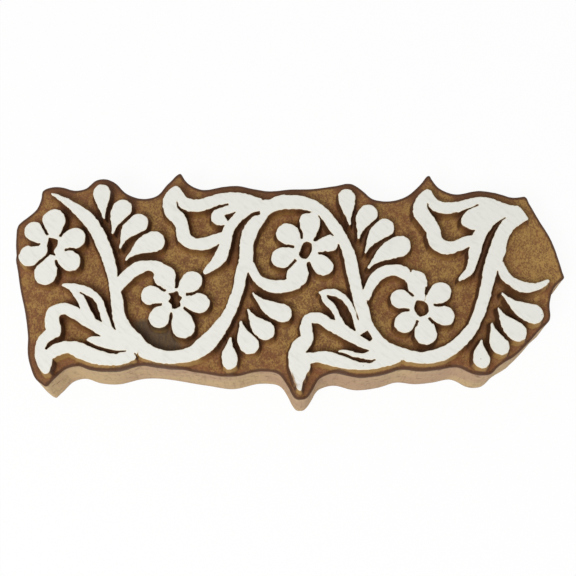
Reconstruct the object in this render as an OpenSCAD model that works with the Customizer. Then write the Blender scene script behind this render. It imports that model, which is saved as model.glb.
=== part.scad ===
// Hand-carved textile printing block. A vine border with flowers, buds and sprays of drops is left
// standing on a slab that is sawn to the outline of the pattern, and the printing face has a thin
// white coat. Millimetres: X runs along the border, Y across it, and Z from the flat back to the face.

/* [Block] */
// Length of the block along the border
block_length = 192.2; // [150:0.1:240]
// Width of the block across the border
block_width = 82.7; // [65:0.1:105]
// Height from the flat back to the printing face
block_thickness = 25; // [15:0.5:40]
// Wood that the saw leaves outside the drawn outline
saw_allowance = 0.35; // [0.1:0.05:1]

/* [Carving] */
// Depth of the open ground below the printing face
ground_depth = 5; // [3.5:0.25:8]
// What the knife takes off each drawn line, on each side
knife_trim = 0.15; // [0.05:0.05:0.3]

/* [Flowers] */
// Radius of the hub that joins the petals round the eye
hub_radius = 4.4; // [4:0.1:4.8]
// Width of a petal where it leaves the hub
petal_root = 3.4; // [2.6:0.1:4]
// Width of the cut between two petals
petal_cut = 0.7; // [0.5:0.1:0.9]

/* [Drops] */
// Width of a drop at its pointed end
drop_point = 1; // [0.6:0.1:1.6]

/* [White coat] */
// Thickness of the coat
coat_thickness = 0.2; // [0.1:0.05:0.5]
// Bare wood left between the coat and the edge of its land
coat_margin = 0.15; // [0.05:0.05:0.3]

/* [Hidden] */
$fa = 12;
$fs = 0.4;
// Longest straight step along a drawn curve
curve_step = 2.4;
// Marks a corner in an outline
sharp = true;

ground_height = block_thickness - ground_depth;
land_height = block_thickness - coat_thickness;

// Outline of the slab, clockwise from the lower left corner
slab = [
    [-82.4, -33.6, sharp], [-85.4, -31.4], [-87.6, -26.9], [-88.9, -22], [-89.2, -16], [-90.4, -8.7],
    [-92.9, 1.4], [-94.7, 11.5], [-95.4, 19.5], [-95, 24.4], [-92.1, 27.2], [-88.8, 30.5],
    [-87.3, 35], [-87.1, 37.2], [-85, 38.4], [-81, 38.6], [-76, 37.3], [-71.4, 38.4], [-68.6, 41.1],
    [-65.4, 41.7], [-62.4, 40.6], [-57.8, 36.3], [-51.6, 34.2], [-46.6, 35.3], [-42.7, 39.8],
    [-38.7, 43.8, sharp], [-35.9, 40.1], [-30.4, 37.6], [-24, 38.6], [-18.2, 39.1], [-12.2, 37.9],
    [-7.1, 37.1], [0, 37.7], [9, 38], [17, 39.1], [22.5, 39.9], [26, 37.6], [29.8, 34.3],
    [35.5, 33.3], [42, 35], [46.8, 39], [50.2, 42.9, sharp], [53.7, 38.3], [59, 36], [68, 37.2],
    [75, 36.1], [80, 34.6], [84.2, 35.1, sharp], [88.1, 27.2], [92.6, 18.4], [95, 9.8],
    [96.1, 5, sharp], [92.1, 0.9], [90.5, -4], [90.1, -10.2], [86.1, -14.3], [82, -18.8],
    [77, -23.4], [71.6, -26.8], [68.8, -29.5], [65, -29.9], [57.8, -26.9], [51.6, -28],
    [45, -28.6], [38.5, -28], [32.4, -29.8], [24, -30.8], [15.2, -29.2], [10.4, -31],
    [7.6, -35.5], [5.4, -38.1], [3, -38.1], [0.6, -34.2], [-3, -29.3], [-9, -28.4], [-19.7, -30.4],
    [-29, -29.1], [-51.6, -26.7], [-61, -28.7], [-67, -28.2], [-72.4, -26.6], [-76.8, -27.9],
    [-79.6, -30.8]
];

// The vine, from its left tip down, up, over and down again to its right end: [x, y, width]
vine = [
    [-83.4, 34.6, 0.7], [-80.2, 33, 2], [-77.1, 31.2, 3], [-74, 28.8, 4], [-69.9, 25.1, 4.9],
    [-66.5, 20.4, 4.8], [-63.6, 14.3, 4.8], [-61.3, 7.7, 4.2], [-60.2, 3, 3.8], [-58.7, -4, 4.3],
    [-57.9, -9, 4.6], [-56.2, -13.8, 5.6], [-52.5, -18.5, 6.5], [-48, -22.2, 5.6], [-44, -23.7, 5],
    [-40, -24.3, 4.8], [-36, -24, 4.9], [-32.3, -22.9, 5.5], [-28.5, -20.3, 6.5], [-24, -15.2, 5.6],
    [-20.4, -9.5, 4.4], [-18.2, -4, 4.2], [-16.8, 1, 4.1], [-16.1, 5, 4.3], [-14.5, 10, 5.1],
    [-14.4, 15, 5], [-13.2, 20.2, 5.4], [-10.6, 24.5, 5], [-7.8, 28.4, 4.7], [-3.5, 30.9, 5.6],
    [2, 31.4, 5.4], [7, 30.6, 4.9], [11.7, 27.9, 4.2], [15.1, 23.9, 4.4], [18.3, 18.8, 4.2],
    [20.5, 14.3, 4.3], [21.8, 9.2, 4.7], [22.7, 4.2, 4.5], [23.8, -1, 4.4], [25.3, -7, 4.8],
    [26.8, -12.5, 4.4], [29.1, -17.4, 5.2], [33.5, -21.6, 5.4], [38.5, -23.2, 4.8],
    [44.5, -24.5, 4.3], [50, -23.8, 4.9], [55, -21.7, 4.6], [59.2, -18.2, 4.5], [62.9, -13.8, 4.1],
    [65.4, -8.5, 4.2], [67.3, -3, 4.4], [68.7, 2.5, 4.5], [70.4, 8, 5.4], [72.3, 12.7, 6],
    [74.1, 18.4, 5.1], [77, 23, 5.2], [79.6, 25.3, 5.5], [82.9, 27.4, 5.9]
];

// Branches that carry a flower, and the last one that runs out at the right end
branches = [
    [[-59.3, -1.5, 3.5], [-57.4, 2, 4.6], [-54.8, 5, 4.9], [-51.5, 7.3, 4.8], [-48, 8.1, 4.1],
        [-44.5, 7.1, 5], [-42.3, 4.5, 6.5]],
    [[-13.2, 9, 3.6], [-11.5, 4.9, 3.4], [-9.4, 2.4, 3.9], [-6.3, 0.9, 4.8], [-3, 0.5, 5],
        [0.5, 1, 4.8], [3.5, 2.6, 5]],
    [[26, -4, 4], [28, 0, 3.8], [29.8, 3.2, 4.2], [32.5, 5.6, 4.2], [36, 6.5, 4.3],
        [39.5, 5.9, 4.6], [42.5, 4.2, 5.5]],
    [[73, 9.5, 3.2], [74.8, 4.6, 3.8], [77.2, 2.2, 3.6], [80.3, 0.5, 4.2], [83.5, 0.2, 3.4],
        [86, 0.6, 2.9], [88.3, 1.9, 2.2], [90.2, 3, 1.2]]
];

// Petals of a bud and the leaf beside it: strokes of [x, y, width], each from its tip
lower_left_bud = [
    // Leaf, split round its eye
    [[-78, 1.4, 0.9], [-75.5, 0.8, 2.3], [-72, 0.1, 2.9], [-68.7, -1.1, 3], [-65.2, -3.8, 2.7],
        [-63.6, -7.1, 2.8], [-62.4, -11, 2.9], [-61.2, -15.5, 4]],
    [[-76, 0.8, 1.4], [-72.7, -1.7, 2.8], [-70.5, -4.5, 3.1], [-69.2, -8, 3.3], [-67, -12, 4]],
    // Upper petal, which turns down at the left
    [[-58, -18.2, 6], [-64.2, -14.1, 4.5], [-68.5, -11.5, 4.5], [-73, -8.6, 4.6], [-77.2, -7.2, 4.2],
        [-80.3, -9, 5], [-80.3, -12.5, 5], [-79.8, -15.7, 5.4], [-82.6, -18.7, 5.4], [-83.6, -22, 4.4]],
    // Lower petal and the arm that leads back to the vine
    [[-81.4, -30.2, 2], [-81.9, -27.4, 4.6], [-82.7, -24.2, 6], [-83.2, -20.5, 5.2]],
    [[-82.7, -24, 4.4], [-78.5, -21.8, 4.6], [-74.6, -20.8, 4.6], [-70, -22, 6], [-65, -24.1, 5.4],
        [-60, -25.1, 4.4], [-55, -24.4, 4.6], [-51.8, -22.8, 4]],
    // Tongue
    [[-68.6, -18.2, 0.8], [-66.5, -18.2, 2.6], [-62.5, -19, 4.2], [-57.5, -19.5, 5.2], [-52, -20, 5]]
];
upper_left_bud = [
    // Left petal, which runs under the pocket
    [[-38.9, 37.5, 1.2], [-40.3, 34.8, 4.2], [-41.4, 31.5, 5.2], [-40.8, 27.8, 5.2], [-38.2, 25.3, 5.2],
        [-36.8, 21.8, 4.8], [-36.2, 18.6, 5], [-32.6, 16, 4.6], [-28, 16.3, 4.8], [-23.9, 18, 4.2],
        [-21, 18.6, 4]],
    // Top petal
    [[-38.9, 37, 1.4], [-37.9, 33.8, 3.4], [-36.3, 31, 4.6], [-33, 30, 4.9], [-28.8, 30.7, 4.7],
        [-24, 32.4, 4.4], [-19, 32.8, 4.7], [-14, 31.8, 5], [-9.5, 30.6, 4.4], [-6, 30.4, 4]],
    // Tongue
    [[-26.7, 25.6, 3], [-24.6, 25.8, 6.8], [-20, 27.3, 7], [-15, 29.5, 6]],
    // Right petal, which hangs down beside the vine
    [[-29.2, 5.1, 1.3], [-27.3, 6.9, 3], [-25, 8.9, 4.1], [-23.4, 11.2, 4.6], [-22.2, 14.2, 4.5],
        [-21.4, 18, 4], [-20.6, 21.5, 4.2], [-18.8, 25, 5], [-14.5, 28.8, 5], [-10, 29.6, 4.2]]
];
lower_middle_bud = [
    // Leaf, split round its eye
    [[10.2, -1.6, 0.9], [12.8, -1.5, 2.3], [16, -1.6, 2.8], [18.8, -3.1, 2.5], [21, -6, 2.3],
        [23, -10.5, 2.2], [24.6, -14.5, 3.6], [25, -17, 4]],
    [[12, -1.8, 2], [13, -4.3, 2.3], [15.4, -7.1, 2.7], [16.8, -10, 2.2], [18, -13.5, 3.5]],
    // Upper petal, which turns down at the left
    [[30, -20, 6], [26.5, -18.5, 6], [22.5, -17.4, 4.7], [17.8, -14.6, 4.8], [13.8, -12.6, 4.2],
        [10.2, -10.6, 4], [7, -11.1, 4], [6.2, -14.5, 4.6], [6.5, -17.8, 4.7], [4.2, -20.2, 5.8],
        [2.9, -23.5, 5.8], [3, -26.5, 5.8]],
    // Lower petal and the arm that leads back to the vine
    [[4.2, -36.3, 0.9], [3.7, -33.5, 2.9], [3.6, -30.5, 5.1], [3.9, -27.6, 7.4], [3.2, -24.5, 6]],
    [[4, -25.3, 5], [9.5, -24.3, 3.9], [14, -24.7, 5.2], [18.5, -26.1, 4.6], [23, -27.1, 3.4],
        [28, -27.3, 2.6], [33, -25.2, 5], [38, -24, 4.2]],
    // Tongue
    [[16.8, -22.1, 0.6], [19.5, -22.4, 1.6], [22.5, -23.3, 2], [26, -23.8, 2.4], [30.5, -22.8, 5.2],
        [35, -22, 5]]
];
upper_right_bud = [
    // Left petal, which runs under the pocket
    [[49.5, 36.4, 1.3], [47.8, 33.6, 3.6], [46.6, 30.5, 5], [46.5, 27.3, 5.7], [48.6, 24.3, 5.6],
        [50.6, 20.6, 5.4], [51.3, 17, 5.4], [54.7, 14.5, 5.2], [58.6, 15.2, 4.3], [62.3, 16.8, 4.4],
        [65.5, 17.5, 4]],
    // Top petal
    [[49.5, 36, 1.6], [50, 32.8, 3.6], [52, 29.8, 4.5], [55.5, 29.2, 4.5], [60, 29.7, 4],
        [64.5, 31.2, 3.7], [69, 31, 4.5], [74, 28.6, 6], [79.3, 27, 5.6]],
    // Tongue
    [[60.5, 23.8, 2], [63, 24.4, 6.8], [67, 25.5, 9.2], [72, 28, 6]],
    // Right petal, which hangs down beside the vine
    [[58.5, 2.4, 0.8], [60.3, 4.1, 2.4], [62.5, 6, 3], [63.8, 9.5, 3.4], [64.7, 13, 4.4],
        [66, 17.5, 4.6], [68.3, 22, 4.8], [71.5, 25.6, 4.8], [76.5, 27.8, 4.8], [81, 27.6, 5]]
];

// Petals round an eye: [angle, reach, width], anticlockwise from the one at the top
left_petals = [
    [89, 13.3, 8.4], [142, 11.9, 7.2], [207, 12.4, 8], [260, 14.7, 8], [318, 12.6, 7.4], [18, 12, 7.7]
];
lower_left_petals = [
    [115, 13, 8], [171, 12, 7.2], [231, 12.2, 7.4], [287, 14.4, 8.2], [350, 12.2, 7.3], [49, 12.3, 7.5]
];
upper_middle_petals = [
    [82, 14.5, 7.4], [137, 12.8, 7.8], [199, 12.6, 7.8], [252, 13.8, 7.8], [316, 11.9, 7], [17, 12, 6.3]
];
lower_right_petals = [
    [98, 13.8, 7.3], [155, 11.6, 7.2], [220, 11.5, 7.2], [277, 12.9, 8], [342, 11.7, 7.1], [41, 12.8, 7.4]
];

// Eye of a flower: the cut in its middle
left_eye = [[-83, 18.2], [-80, 17.3], [-80.4, 14.8], [-81.5, 13.4], [-80.8, 12], [-83, 12.4], [-83.4, 15.2]];
lower_left_eye = [
    [-40.8, -2], [-37.8, -1.1], [-37.5, -2.8], [-36.3, -3.5], [-37.3, -4.6], [-36.7, -6.3], [-38.6, -7.2],
    [-39.5, -7.2], [-39.7, -5.4], [-40.9, -4.7], [-39.9, -3.4]
];
upper_middle_eye = [
    [5.6, 16.4], [7, 16.5], [8.2, 15.8], [8, 13.2], [6.3, 10.6], [4.9, 11], [3.9, 11.8], [4.6, 14.2]
];
lower_right_eye = [
    [44, -4.6], [46, -4.5], [47.5, -5.5], [48, -7.5], [47.4, -9.2], [45, -10], [44.2, -9.3], [43.3, -7.4]
];

// Cuts between the petals of a flower: [blind end x, y, open end x, y]
left_cuts = [
    [-83.5, 19.1, -86.2, 24], [-86.6, 15.6, -89.6, 15.5], [-83.1, 12.1, -86.8, 8.5],
    [-80.3, 10.2, -79.8, 8.5], [-77.2, 13.8, -73.9, 14], [-79.1, 18.6, -77.7, 22.6]
];
lower_left_cuts = [
    [-42, -1, -46.1, 1.4], [-43.3, -5.8, -46.3, -6.1], [-39.8, -8.7, -40.2, -12.4],
    [-35.5, -7, -33.6, -8.8], [-34.8, -2.3, -31.9, -1.6], [-38.3, 0.1, -38.4, 4]
];
upper_middle_cuts = [
    [4.8, 17.9, 4.1, 21], [2.1, 14.8, -1.4, 15.4], [2.7, 10.2, -0.6, 6.6],
    [6.9, 9.1, 7.4, 6], [10.7, 12.5, 13.3, 12.9], [9.4, 17.4, 10.8, 18.8]
];
lower_right_cuts = [
    [43.1, -2.8, 41.1, -1], [41.3, -7.8, 38, -7.6], [44.1, -11.5, 42.1, -15.3],
    [48.2, -10.5, 49.4, -12.4], [49.9, -5.9, 52.9, -5.9], [47.4, -2.1, 47.6, 0.3]
];

// Mouth of the left flower's second cut, cleared of the splinter that the cut leaves on the petal below
left_mouth = [[-87, 15.6], [-87, 16], [-89.3, 16.2], [-89.3, 15.6]];

// Flowers: [middle, petals, cuts, eye]
left_flower = [[-81.8, 15.5], left_petals, left_cuts, left_eye];
vine_flowers = [
    [[-38.7, -3.9], lower_left_petals, lower_left_cuts, lower_left_eye],
    [[6.2, 13.7], upper_middle_petals, upper_middle_cuts, upper_middle_eye],
    [[45.7, -7.3], lower_right_petals, lower_right_cuts, lower_right_eye]
];

// Knife cuts inside the vine: slits that lengthen a gap, nicks in its edge and the eyes of buds
slits = [
    [[-82, -21.4, 0.4], [-80.9, -19.9, 1], [-79.2, -18.7, 1.5], [-77, -17.8, 1.4]],
    [[-69, -19.1, 0.7], [-64.5, -21.1, 0.7], [-60, -22.4, 0.9], [-57.7, -22.6, 0.7]],
    [[16.3, -22.5, 0.6], [20, -24, 0.7], [25, -25.5, 0.8], [28.4, -25.6, 0.7]],
    [[-20.9, 30.6, 0.6], [-25.5, 28.9, 0.6]],
    [[-9.8, 27.4, 1], [-12.5, 26.6, 1.2]],
    [[7.6, 27.7, 0.6], [4.5, 27.5, 0.7]]
];
nicks = [
    [[-51.6, -25.6], [-50.7, -22.9], [-49.8, -25.6]],
    [[38, -27], [39.2, -25.3], [40.2, -27]],
    [[-9.8, 33.6], [-8.8, 32.2], [-7.2, 33.6]],
    [[41.5, 7.4], [42.2, 6], [43, 7.4]],
    [[-22.2, 26.3], [-18.8, 27.4], [-20.8, 24.3]],
    [[24.6, -16.6], [27.2, -15.1], [28.5, -18], [27.8, -18.7]]
];

// Sprays of drops: [point x, point y, head x, head y, head width, nose, bow], from the outer end in
sprays = [
    ["upper_left", [
        [-64.3, 24.8, -65.5, 35, 6.1, 3.2, 0], [-61, 19.2, -58, 29, 7, 3.5, 0.7],
        [-58.2, 14, -52.4, 23.2, 7.4, 4.1, 1.4], [-56.4, 9.7, -46.8, 16.7, 7.9, 4.2, 1]
    ]],
    ["lower_middle", [
        [-12.5, -1.3, -2.3, -8.7, 6.8, 3.9, -1.1], [-13.8, -6.9, -8, -14.8, 7, 3.9, -0.8],
        [-16.1, -11.4, -13.2, -19.8, 7.1, 3.7, -0.75], [-19.3, -17, -19.6, -25.2, 5.7, 3.6, -0.5]
    ]],
    ["upper_middle", [
        [21.6, 22.4, 20.6, 33, 6.4, 3.4, 0], [24.4, 17.6, 28.1, 27.2, 7.1, 3.4, 0.75],
        [26.7, 12.2, 33.6, 21.8, 6.9, 3.6, 1.1], [27.3, 6.8, 38.4, 14.9, 8, 4.5, 1]
    ]],
    ["lower_right", [
        [73.2, -1.6, 83.5, -9, 7.2, 4.1, -1], [71.6, -6.6, 77.7, -15.2, 6.9, 4, -0.85],
        [69.5, -12, 72, -20.3, 6.5, 3.4, -0.65], [66, -17.8, 65.5, -25, 6.1, 3.3, -0.5]
    ]]
];
drops_in_spray = 4;

function drop_node(spray, i) = str(sprays[spray][0], "_drop_", i + 1, "_coat");

// Point at t on the curve from a to b that leaves a along u and reaches b along v
function between(a, b, u, v, t) =
    a * (1 + 2 * t) * pow(1 - t, 2) + u * t * pow(1 - t, 2)
        + b * (3 - 2 * t) * t * t - v * (1 - t) * t * t;

// Direction of a smooth curve at b, between its neighbours a and c, for each unit of length
function heading(a, b, c) =
    let (before = norm(b - a), after = norm(c - b))
        ((b - a) * after / before + (c - b) * before / after) / (before + after);

function steps(chord) = ceil(chord / curve_step);

// Closed outline through the points, straight-sided only at those marked sharp
function outline(points) =
    let (n = len(points), at = [for (p = points) [p.x, p.y]])
        [for (i = [0 : n - 1])
            let (
                a = at[i],
                b = at[(i + 1) % n],
                chord = norm(b - a),
                leave = is_undef(points[i][2]) ? heading(at[(i + n - 1) % n], a, b) * chord : b - a,
                reach = is_undef(points[(i + 1) % n][2]) ? heading(a, b, at[(i + 2) % n]) * chord : b - a,
                count = steps(chord)
            )
                for (k = [0 : count - 1]) between(a, b, leave, reach, k / count)];

// Points of [x, y, width] along an open stroke
function spine(nodes) =
    let (last = len(nodes) - 1)
        [for (i = [0 : last - 1])
            let (
                a = nodes[i],
                b = nodes[i + 1],
                chord = norm(b - a),
                leave = i == 0 ? b - a : heading(nodes[i - 1], a, b) * chord,
                reach = i == last - 1 ? b - a : heading(a, b, nodes[i + 2]) * chord,
                count = steps(chord)
            )
                for (k = [0 : i == last - 1 ? count : count - 1]) between(a, b, leave, reach, k / count)];

function left_of(v) = [-v.y, v.x] / norm([v.x, v.y]);

// A stroke of changing width along the nodes
module stroke(nodes) {
    line = spine(nodes);
    last = len(line) - 1;
    side = [for (i = [0 : last]) left_of(line[min(i + 1, last)] - line[max(i - 1, 0)]) * line[i][2] / 2];
    middle = [for (p = line) [p.x, p.y]];
    for (i = [0 : last - 1])
        polygon([
            middle[i] + side[i], middle[i + 1] + side[i + 1],
            middle[i + 1] - side[i + 1], middle[i] - side[i]
        ]);
}

// A lobe that swells from its root to a rounded head. Its middle line bows to one side, its half width
// follows a power of the sine, and a half ellipse closes it.
module lobe(root, root_width, head, head_width, nose, bow, fullness) {
    axis = head - root;
    along = axis / norm(axis);
    across = left_of(axis);
    flank = 6;
    cap = 8;
    function half(t) = (root_width + (head_width - root_width) * pow(sin(90 * t), fullness)) / 2;
    function middle(t) = root + axis * t + across * bow * sin(180 * t);
    function edge(t, sign) = middle(t) + across * half(t) * sign;
    polygon(concat(
        [for (i = [0 : flank]) edge(i / flank, -1)],
        [for (i = [1 : cap - 1])
            let (a = 180 * i / cap - 90) head + along * nose * cos(a) + across * head_width / 2 * sin(a)],
        [for (i = [flank : -1 : 0]) edge(i / flank, 1)]
    ));
}

module drop(size) {
    concave = 2;
    lobe([size[0], size[1]], drop_point, [size[2], size[3]], size[4], size[5], size[6], concave);
}

module petal(middle, angle, reach, width) {
    straight = 1;
    along = [cos(angle), sin(angle)];
    lobe(
        middle + along * (hub_radius - petal_root / 2), petal_root,
        middle + along * (reach - width / 2), width, width / 2, 0, straight
    );
}

// A flower before the knife opens it
module petals(flower) {
    translate(flower[0]) circle(hub_radius);
    for (p = flower[1]) petal(flower[0], p[0], p[1], p[2]);
}

// What the knife takes out of a flower: its eye and the cuts between its petals
module flower_cuts(flower) {
    polygon(flower[3]);
    for (cut = flower[2]) stroke([[cut[0], cut[1], petal_cut], [cut[2], cut[3], petal_cut]]);
}

module vine_shape() {
    difference() {
        union() {
            stroke(vine);
            for (nodes = branches) stroke(nodes);
            for (bud = [lower_left_bud, upper_left_bud, lower_middle_bud, upper_right_bud])
                for (nodes = bud) stroke(nodes);
            for (flower = vine_flowers) petals(flower);
        }
        for (flower = vine_flowers) flower_cuts(flower);
        for (nodes = slits) stroke(nodes);
        for (nick = nicks) polygon(nick);
    }
}

module left_flower_shape() {
    difference() {
        petals(left_flower);
        flower_cuts(left_flower);
        polygon(left_mouth);
    }
}

// Places the drawn pattern on the block: with the saw's allowance, its outline fills the length and width
slab_line = outline(slab);
slab_low = [min([for (p = slab_line) p.x]), min([for (p = slab_line) p.y])];
slab_high = [max([for (p = slab_line) p.x]), max([for (p = slab_line) p.y])];
slab_middle = (slab_low + slab_high) / 2;
stretch = [
    (block_length - 2 * saw_allowance) / (slab_high.x - slab_low.x),
    (block_width - 2 * saw_allowance) / (slab_high.y - slab_low.y)
];
module on_block() {
    scale(stretch) translate(-slab_middle) children();
}
function placed(p) = [stretch.x * (p.x - slab_middle.x), stretch.y * (p.y - slab_middle.y)];

// A drawn shape as the knife leaves it
module carved() {
    offset(delta = -knife_trim) on_block() children();
}

module block() {
    color("saddlebrown") {
        linear_extrude(ground_height) offset(r = saw_allowance) polygon([for (p = slab_line) placed(p)]);
        // The lands are rooted in the slab, half way down
        translate([0, 0, ground_height / 2])
            linear_extrude(land_height - ground_height / 2)
                carved() {
                    vine_shape();
                    left_flower_shape();
                    for (spray = sprays, size = spray[1]) drop(size);
                }
    }
}

// A coat lies on the top of the land that is carved from the same drawn shape
module coat() {
    color("ivory")
        translate([0, 0, land_height])
            linear_extrude(coat_thickness)
                offset(delta = -coat_margin)
                    carved() children();
}

module vine_coat() { coat() vine_shape(); }
module left_flower_coat() { coat() left_flower_shape(); }
module drop_coat(spray, i) { coat() drop(sprays[spray][1][i]); }

block();
vine_coat();
left_flower_coat();
for (spray = [0 : len(sprays) - 1], i = [0 : drops_in_spray - 1])
    drop_coat(spray, i);
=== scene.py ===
"""A hand-carved wooden textile printing block: the carved wood, the white coat
on its raised lands, and a plain stage."""

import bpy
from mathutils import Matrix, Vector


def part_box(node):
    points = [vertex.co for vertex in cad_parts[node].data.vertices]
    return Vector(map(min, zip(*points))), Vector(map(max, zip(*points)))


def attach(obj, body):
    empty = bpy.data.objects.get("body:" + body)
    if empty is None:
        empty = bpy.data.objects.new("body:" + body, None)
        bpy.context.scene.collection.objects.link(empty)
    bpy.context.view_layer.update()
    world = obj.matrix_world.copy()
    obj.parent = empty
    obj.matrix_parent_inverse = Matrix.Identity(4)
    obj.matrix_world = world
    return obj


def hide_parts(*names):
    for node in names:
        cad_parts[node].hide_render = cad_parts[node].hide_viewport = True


bl_info = {
    "name": "Textile Printing Block",
    "version": (1, 0, 0),
    "blender": (4, 5, 0),
    "location": "View3D > Sidebar > Printing Block",
    "description": "Carves a wooden printing block and lays the white coat on its lands",
    "category": "Add Mesh",
}

import math

import bpy
import numpy as np
from bpy.props import FloatProperty, FloatVectorProperty, PointerProperty
from mathutils import Vector, geometry

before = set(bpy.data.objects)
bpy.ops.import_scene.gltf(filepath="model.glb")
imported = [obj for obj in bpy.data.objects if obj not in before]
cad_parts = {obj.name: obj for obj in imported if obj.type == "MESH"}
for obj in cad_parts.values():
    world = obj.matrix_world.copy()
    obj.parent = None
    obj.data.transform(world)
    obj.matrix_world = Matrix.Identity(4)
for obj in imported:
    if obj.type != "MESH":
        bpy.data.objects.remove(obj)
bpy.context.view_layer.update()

# Lengths are in millimetres, and those of the settings, the floor, the lamp and the clipping in metres.
MM = 0.001
BLOCK = "block"
COATS = sorted(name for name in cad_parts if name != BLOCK)
FACE_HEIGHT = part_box(COATS[0])[1][2] / MM
LAND_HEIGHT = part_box(COATS[0])[0][2] / MM


def paint(red, green, blue):
    """A colour picked as 0 to 255 screen values, as the linear one Blender keeps, by
    the standard screen curve."""
    part = np.array([red, green, blue]) / 255.0
    linear = np.where(part <= 0.04045, part / 12.92, ((part + 0.055) / 1.055) ** 2.4)
    return (*map(float, linear), 1.0)


def size(name, text, millimetres):
    """A length that the user may change, kept in metres."""
    return FloatProperty(name=name, description=text, default=millimetres * MM,
                         subtype="DISTANCE", unit="LENGTH", precision=5)


def colour(name, text, *screen):
    """A colour that the user may change."""
    return FloatVectorProperty(name=name, description=text, default=paint(*screen),
                               subtype="COLOR", size=4, min=0.0, max=1.0)


class BlockSettings(bpy.types.PropertyGroup):
    """Sizes and colours of the carved wood."""
    edge_pitch: size("Edge pitch", "Step between points along a carved edge", 0.4)
    ground_pitch: size("Ground pitch", "Step of the net over the cut ground", 0.75)
    ground_depth: size("Ground depth", "How far the ground lies under the lands", 4.8)
    slot_floor: size("Slot floor", "Depth of the narrowest cut", 1.0)
    wall_run: size("Wall run", "How far a carved wall spreads from its land to its foot", 0.8)
    gouge_depth: size("Gouge depth", "Height of the marks the gouge left on the ground", 0.22)
    hand_wander: size("Hand wander", "How far the knife strayed along an edge", 0.27)
    rim_round: size("Rim round", "Rounding of the slab's upper rim", 0.7)
    lean: size("Lean", "How far the sawn front leans in towards the top", 0.8)
    saw_depth: size("Saw depth", "Depth of the saw's waves in the side", 0.12)
    back_ease: size("Back ease", "Easing of the edge round the back", 0.25)
    ground: colour("Ground", "Brown of the cut ground", 122, 84, 47)
    # The golden colour is the wood's grain, and also painted light on walls that face the front lamp and on
    # open ground.
    golden: colour("Golden", "Oiled golden wood on walls and open ground", 174, 136, 75)
    reddish: colour("Reddish", "Dye-stained patches on the ground", 124, 74, 40)
    # This colour is old dye in flecks and slots, and also painted shade: at the foot of walls turned away
    # from the front lamp, in narrow slots and along the back rim.
    dye_and_shade: colour("Stain", "Old dye at the foot of the walls and in the slots", 76, 46, 24)
    olive: colour("Olive", "Green-brown dye left in a deep pocket", 72, 57, 42)
    sawn: colour("Sawn", "Bare sawn wood of the sides", 196, 168, 126)
    sawn_pink: colour("Sawn pink", "Pinkish bands in the sawn sides", 184, 152, 121)
    pore: colour("Pore", "Open pores in the sawn wood", 116, 84, 56)


class CoatSettings(bpy.types.PropertyGroup):
    """Sizes and colours of the white coat."""
    net_pitch: size("Net pitch", "Step of the net over the coat", 0.9)
    spread: size("Spread", "How far the wet coat crept out towards the land's edge", 0.15)
    edge_round: size("Edge round", "Rounding of the coat's edge", 0.08)
    brush_depth: size("Brush depth", "Depth of the brush marks", 0.02)
    white: colour("White", "White of the coat", 231, 231, 225)
    thin: colour("Thin", "Warm tone where the coat thins out", 236, 224, 198)
    worn: colour("Worn", "Grey of pits and brush marks", 176, 168, 150)
    bare: colour("Bare", "Wood that shows where the brush ran dry", 150, 114, 72)


class StageSettings(bpy.types.PropertyGroup):
    """Light and floor."""
    floor: colour("Floor", "Floor under the block", 247, 247, 247)
    key_power: FloatProperty(name="Key power", description="Power of the soft front light",
                             default=7.2, min=0.0, unit="POWER")
    fill_level: FloatProperty(name="Fill level", description="Level of the light from all round",
                              default=0.45, min=0.0, subtype="FACTOR")


# Outlines

# The turn that counts as a corner, the steps to a millimetre in which points are joined, how near
# a face lies to its height, and the passes of averaging
CORNER = math.radians(48)
JOIN_STEPS = 1e4
SAME_HEIGHT = 0.01
EASE_PASSES = 2


def as_stored(place):
    """Places rounded as a mesh keeps them."""
    return place.astype(np.float32).astype(float)


def turns(come, go):
    """Angles from the edges that come to each point to those that go on, left above nought."""
    return np.arctan2(come[:, 0] * go[:, 1] - come[:, 1] * go[:, 0], (come * go).sum(1))


def averaged(value, ahead, keep=0.5):
    """Values along the outlines, each keeping a share and taking the rest from its neighbours."""
    return keep * value + (1 - keep) / 2 * (value[ahead] + value[np.argsort(ahead)])


def flat_outline(node, height, upward=True):
    """Closed outlines of a solid's flat faces at one height, in millimetres: the
    points, and for each the number of the next, with the solid on the left.
    An edge of those faces that no other of them shares lies on an outline, and it is
    turned round where the faces look down."""
    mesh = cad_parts[node].data
    mesh.calc_loop_triangles()
    corner = np.empty(len(mesh.loop_triangles) * 3, np.int32)
    mesh.loop_triangles.foreach_get("vertices", corner)
    place = np.empty(len(mesh.vertices) * 3, np.float32)
    mesh.vertices.foreach_get("co", place)
    place = place.reshape(-1, 3).astype(float) / MM
    _, first, same = np.unique(np.round(place * JOIN_STEPS).astype(np.int64), axis=0,
                               return_index=True, return_inverse=True)
    face = same.ravel()[corner].reshape(-1, 3)
    place = place[first]
    face = face[(np.abs(place[face][:, :, 2] - height) < SAME_HEIGHT).all(1)]
    edge = np.concatenate([face[:, [0, 1]], face[:, [1, 2]], face[:, [2, 0]]])
    count = len(place)
    edge = edge[~np.isin(edge[:, 0] * count + edge[:, 1], edge[:, 1] * count + edge[:, 0])]
    if not upward:
        edge = edge[:, ::-1]
    edge = edge[np.argsort(edge[:, 0])]
    ahead = np.searchsorted(edge[:, 0], edge[:, 1])
    if len(edge) == 0 or len(np.unique(ahead)) != len(ahead):
        raise RuntimeError(f"{node} has no clear outline at {height} mm")
    return place[edge[:, 0], :2], ahead


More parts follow.
